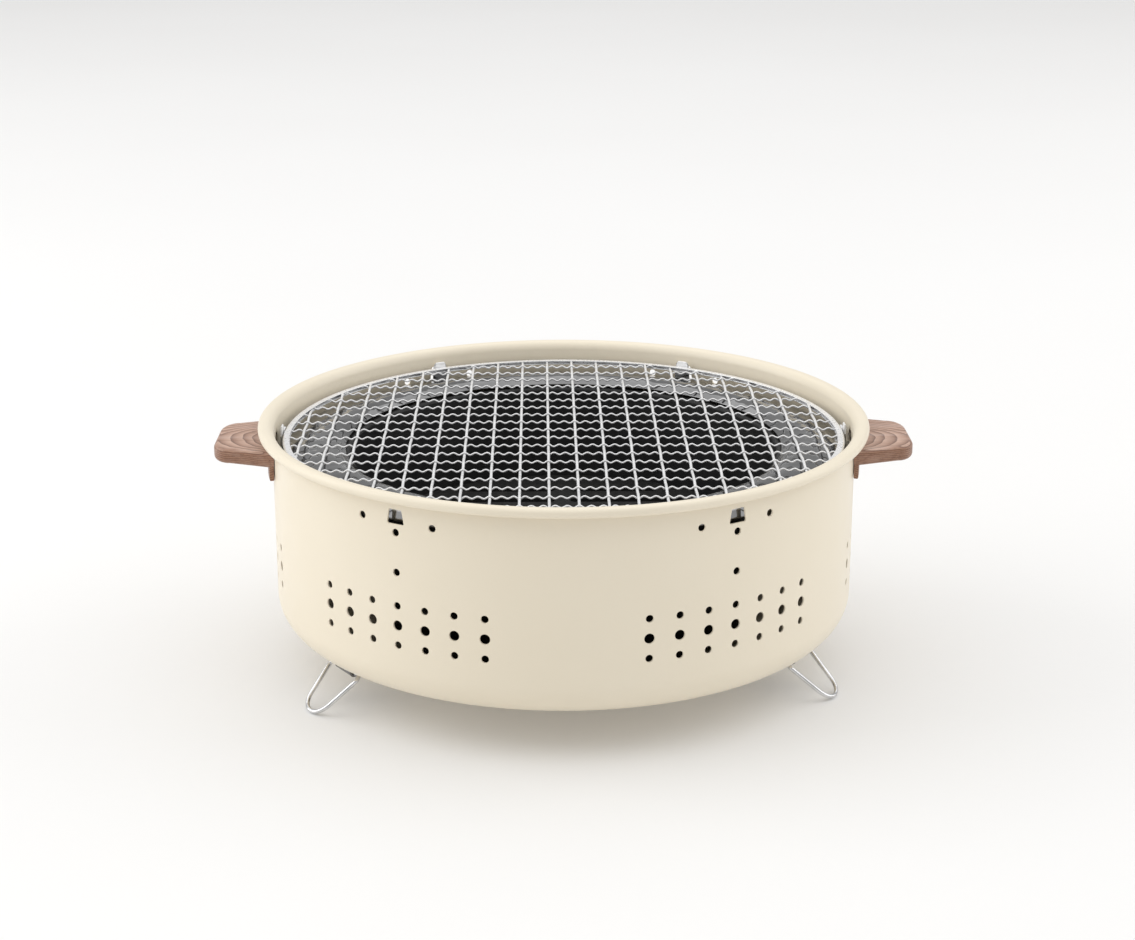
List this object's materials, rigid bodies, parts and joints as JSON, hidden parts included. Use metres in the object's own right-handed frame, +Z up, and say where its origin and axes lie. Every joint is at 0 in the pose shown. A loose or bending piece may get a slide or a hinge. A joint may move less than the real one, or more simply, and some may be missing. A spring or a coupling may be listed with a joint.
{
  "type": "hibachi grill",
  "caption": "Round table-top charcoal grill: enamelled steel tub with wooden handles, folding wire legs, lift-out charcoal bowl and woven wire cooking net.",
  "frame": {"origin": "on the table under the middle of the grill, in the plane of the three feet", "axes": "+X along the two handles, to the right seen from the front; +Y to the back; +Z up"},
  "size_m": [0.347, 0.3038, 0.1259],
  "materials": {
    "enamel": "satin cream enamel",
    "walnut": "oiled walnut",
    "bright_wire": "polished chrome",
    "bright_steel": "bright rolled steel",
    "black_enamel": "satin black enamel",
    "grate_iron": "black coated",
    "net_wire": "bright zinc-plated wire"
  },
  "bodies": {
    "grill_body": {"tub_shell": "enamel", "handle_left": "walnut", "handle_right": "walnut", "handle_screw_left_1": "bright_wire", "handle_screw_left_2": "bright_wire", "handle_screw_right_1": "bright_wire", "handle_screw_right_2": "bright_wire", "leg_clip_left": "bright_steel", "leg_clip_right": "bright_steel", "leg_clip_rear": "bright_steel", "leg_rivet_left_1": "bright_steel", "leg_rivet_left_2": "bright_steel", "leg_rivet_right_1": "bright_steel", "leg_rivet_right_2": "bright_steel", "leg_rivet_rear_1": "bright_steel", "leg_rivet_rear_2": "bright_steel"},
    "left_leg": {"leg_left": "bright_wire"},
    "right_leg": {"leg_right": "bright_wire"},
    "rear_leg": {"leg_rear": "bright_wire"},
    "fire_pan": {"charcoal_bowl": "black_enamel", "bowl_collar": "bright_steel"},
    "grate": {"charcoal_grate": "grate_iron"},
    "net": {"cooking_net": "net_wire"}
  },
  "joints": [
    {"name": "left_leg_fold", "type": "hinge", "parent": "grill_body", "child": "left_leg", "pos_m": [-0.1059, -0.0701, 0.0185], "axis": [0.5519, -0.8339, 0], "range_deg": [0, 139.5]},
    {"name": "right_leg_fold", "type": "hinge", "parent": "grill_body", "child": "right_leg", "pos_m": [0.11366, -0.05667, 0.0185], "axis": [0.4462, 0.8949, 0], "range_deg": [0, 139.5]},
    {"name": "rear_leg_fold", "type": "hinge", "parent": "grill_body", "child": "rear_leg", "pos_m": [-0.00775, 0.12676, 0.0185], "axis": [-0.9981, -0.061, 0], "range_deg": [0, 139.5]},
    {"name": "fire_pan_lift", "type": "slide", "parent": "grill_body", "child": "fire_pan", "axis": [0, 0, 1], "range_m": [0, 0.12]},
    {"name": "grate_lift", "type": "slide", "parent": "fire_pan", "child": "grate", "axis": [0, 0, 1], "range_m": [0, 0.045]},
    {"name": "net_lift", "type": "slide", "parent": "fire_pan", "child": "net", "axis": [0, 0, 1], "range_m": [0, 0.1]}
  ]
}
